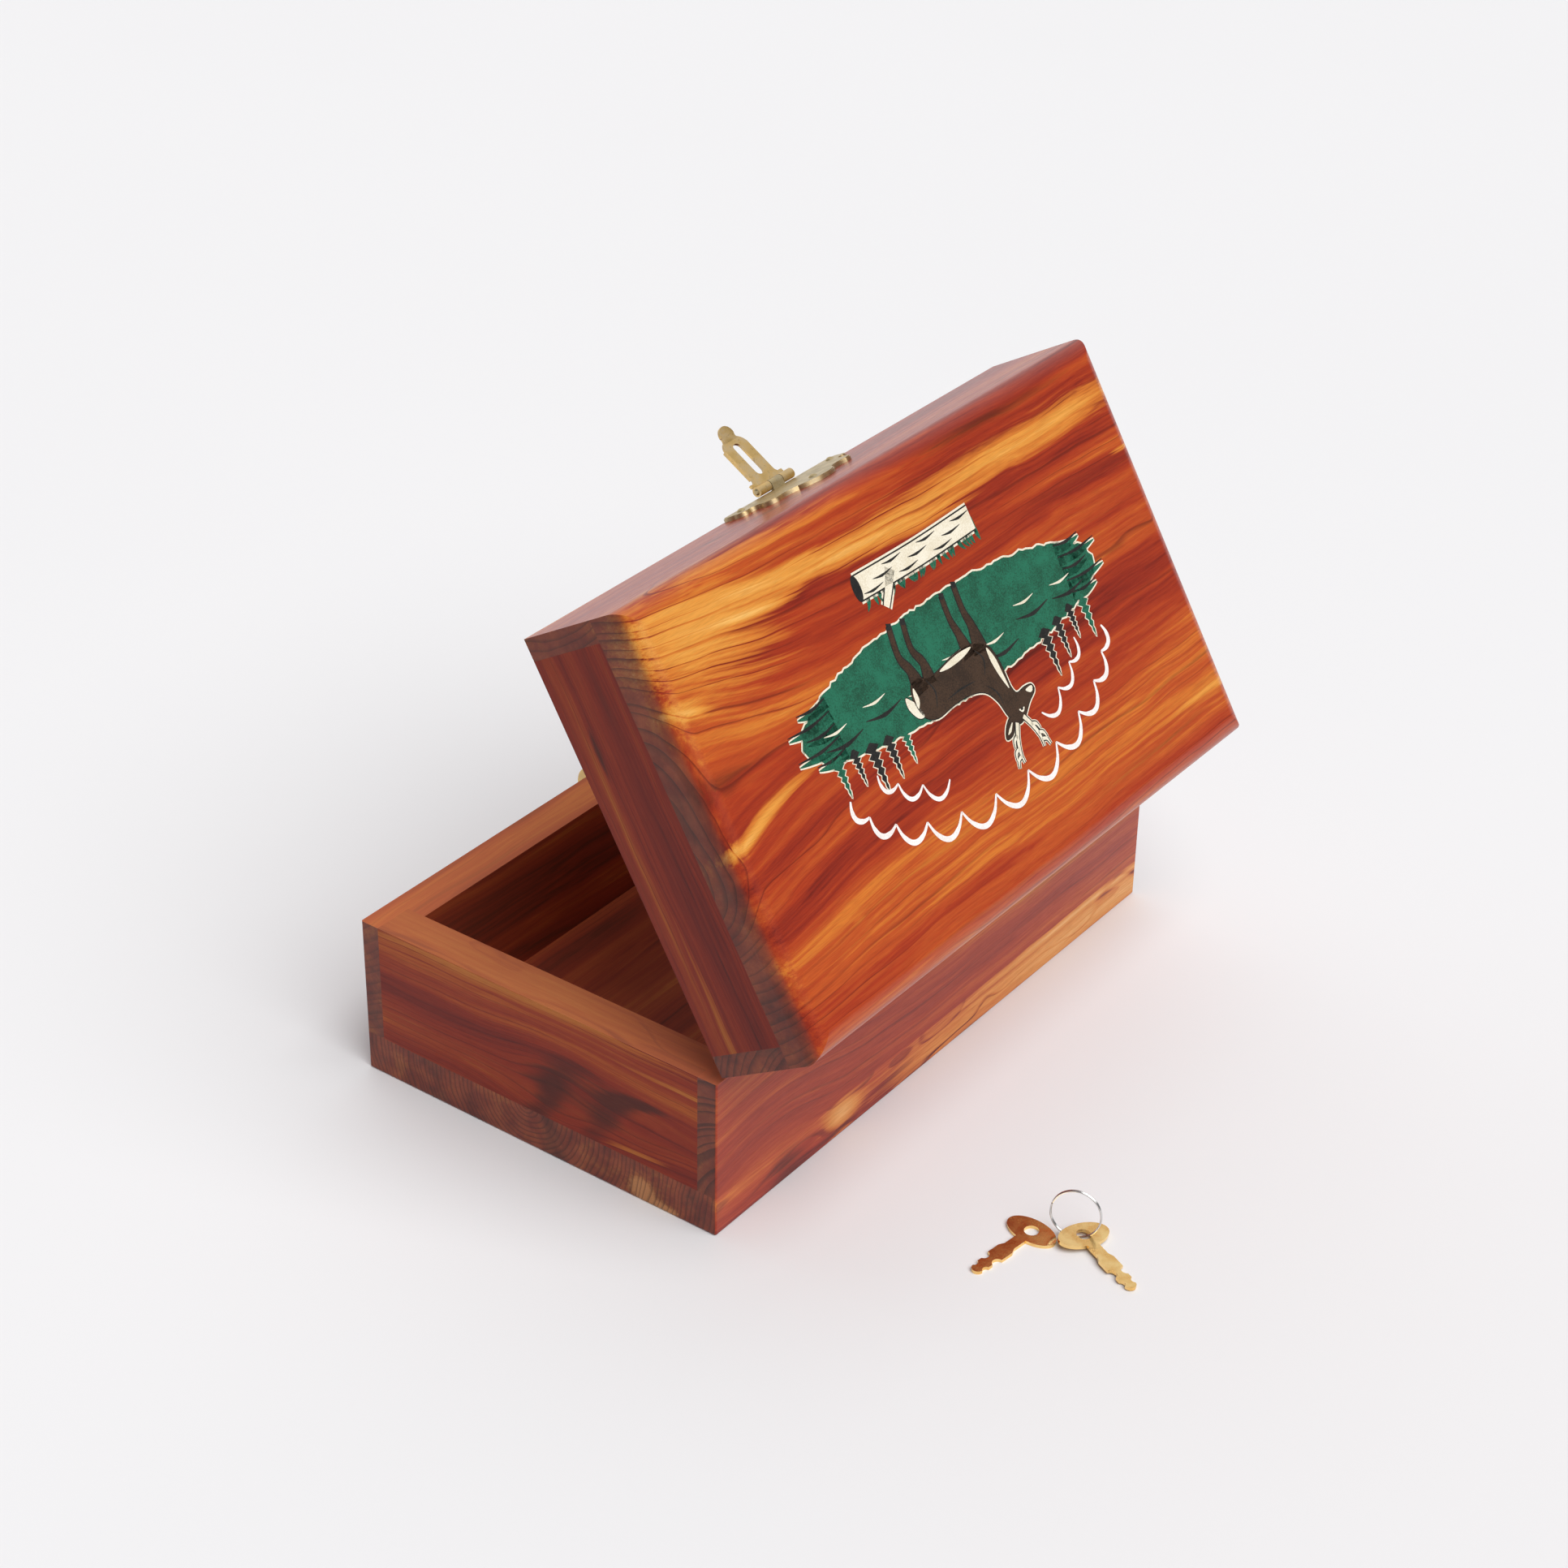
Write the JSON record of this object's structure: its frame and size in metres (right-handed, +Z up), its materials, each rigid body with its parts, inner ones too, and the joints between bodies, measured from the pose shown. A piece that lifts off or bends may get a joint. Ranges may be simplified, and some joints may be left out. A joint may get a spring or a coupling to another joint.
{
  "type": "hinged wooden keepsake box",
  "caption": "Hinged red cedar keepsake box with rabbeted corners, a rounded lid with a printed scene, a brass hasp with a turning eye, and two loose keys on a split ring.",
  "frame": {"origin": "middle of the box's underside, on the surface that it stands on", "axes": "+X along the box's length to the right end, +Y to the hinged back, +Z up; the hasp is on the -Y side"},
  "size_m": [0.216, 0.2388, 0.1805],
  "materials": {
    "cedar_wall": "satin lacquered red cedar, grain along X",
    "cedar_end": "satin lacquered red cedar, grain along Y",
    "cedar_board": "satin lacquered red cedar with yellow sapwood streaks",
    "print_film": "printed ink film under lacquer",
    "aged_brass": "dull brass plate",
    "hasp_brass": "aged speckled brass",
    "key_brass": "bright brass plate",
    "ring_steel": "bright nickel plated spring wire"
  },
  "bodies": {
    "base": {"base_front_wall": "cedar_wall", "base_back_wall": "cedar_wall", "base_left_end": "cedar_end", "base_right_end": "cedar_end", "base_bottom_board": "cedar_board", "left_hinge_base_leaf": "aged_brass", "left_hinge_pin": "aged_brass", "right_hinge_base_leaf": "aged_brass", "right_hinge_pin": "aged_brass", "hinge_base_screws": "aged_brass", "staple_plate": "hasp_brass", "staple_plate_nails": "hasp_brass", "key_1": "key_brass", "key_2": "key_brass"},
    "lid": {"lid_front_wall": "cedar_wall", "lid_back_wall": "cedar_wall", "lid_left_end": "cedar_end", "lid_right_end": "cedar_end", "lid_top_board": "cedar_board", "lid_print": "print_film", "left_hinge_lid_leaf": "aged_brass", "right_hinge_lid_leaf": "aged_brass", "hinge_lid_screws": "aged_brass", "hasp_plate": "hasp_brass", "hasp_plate_nails": "hasp_brass", "hasp_pin": "hasp_brass"},
    "flap": {"hasp_flap": "hasp_brass"},
    "eye": {"turning_eye": "hasp_brass"},
    "ring": {"key_ring": "ring_steel"}
  },
  "joints": [
    {"name": "lid_hinge", "type": "hinge", "parent": "base", "child": "lid", "pos_m": [0, 0.0659, 0.0516], "axis": [-1, 0, 0], "range_deg": [-59.5, 110.5]},
    {"name": "flap_hinge", "type": "hinge", "parent": "lid", "child": "flap", "pos_m": [0, -0.00042, 0.16596], "axis": [-1, 0, 0], "range_deg": [-62, 118]},
    {"name": "eye_turn", "type": "hinge", "parent": "base", "child": "eye", "pos_m": [0, -0.0655, 0.04245], "axis": [0, -1, 0], "continuous": true},
    {"name": "ring_turn", "type": "hinge", "parent": "base", "child": "ring", "pos_m": [0.04831, 0.14062, 0.00789], "axis": [0.9418, 0.3062, 0.1389], "continuous": true}
  ]
}
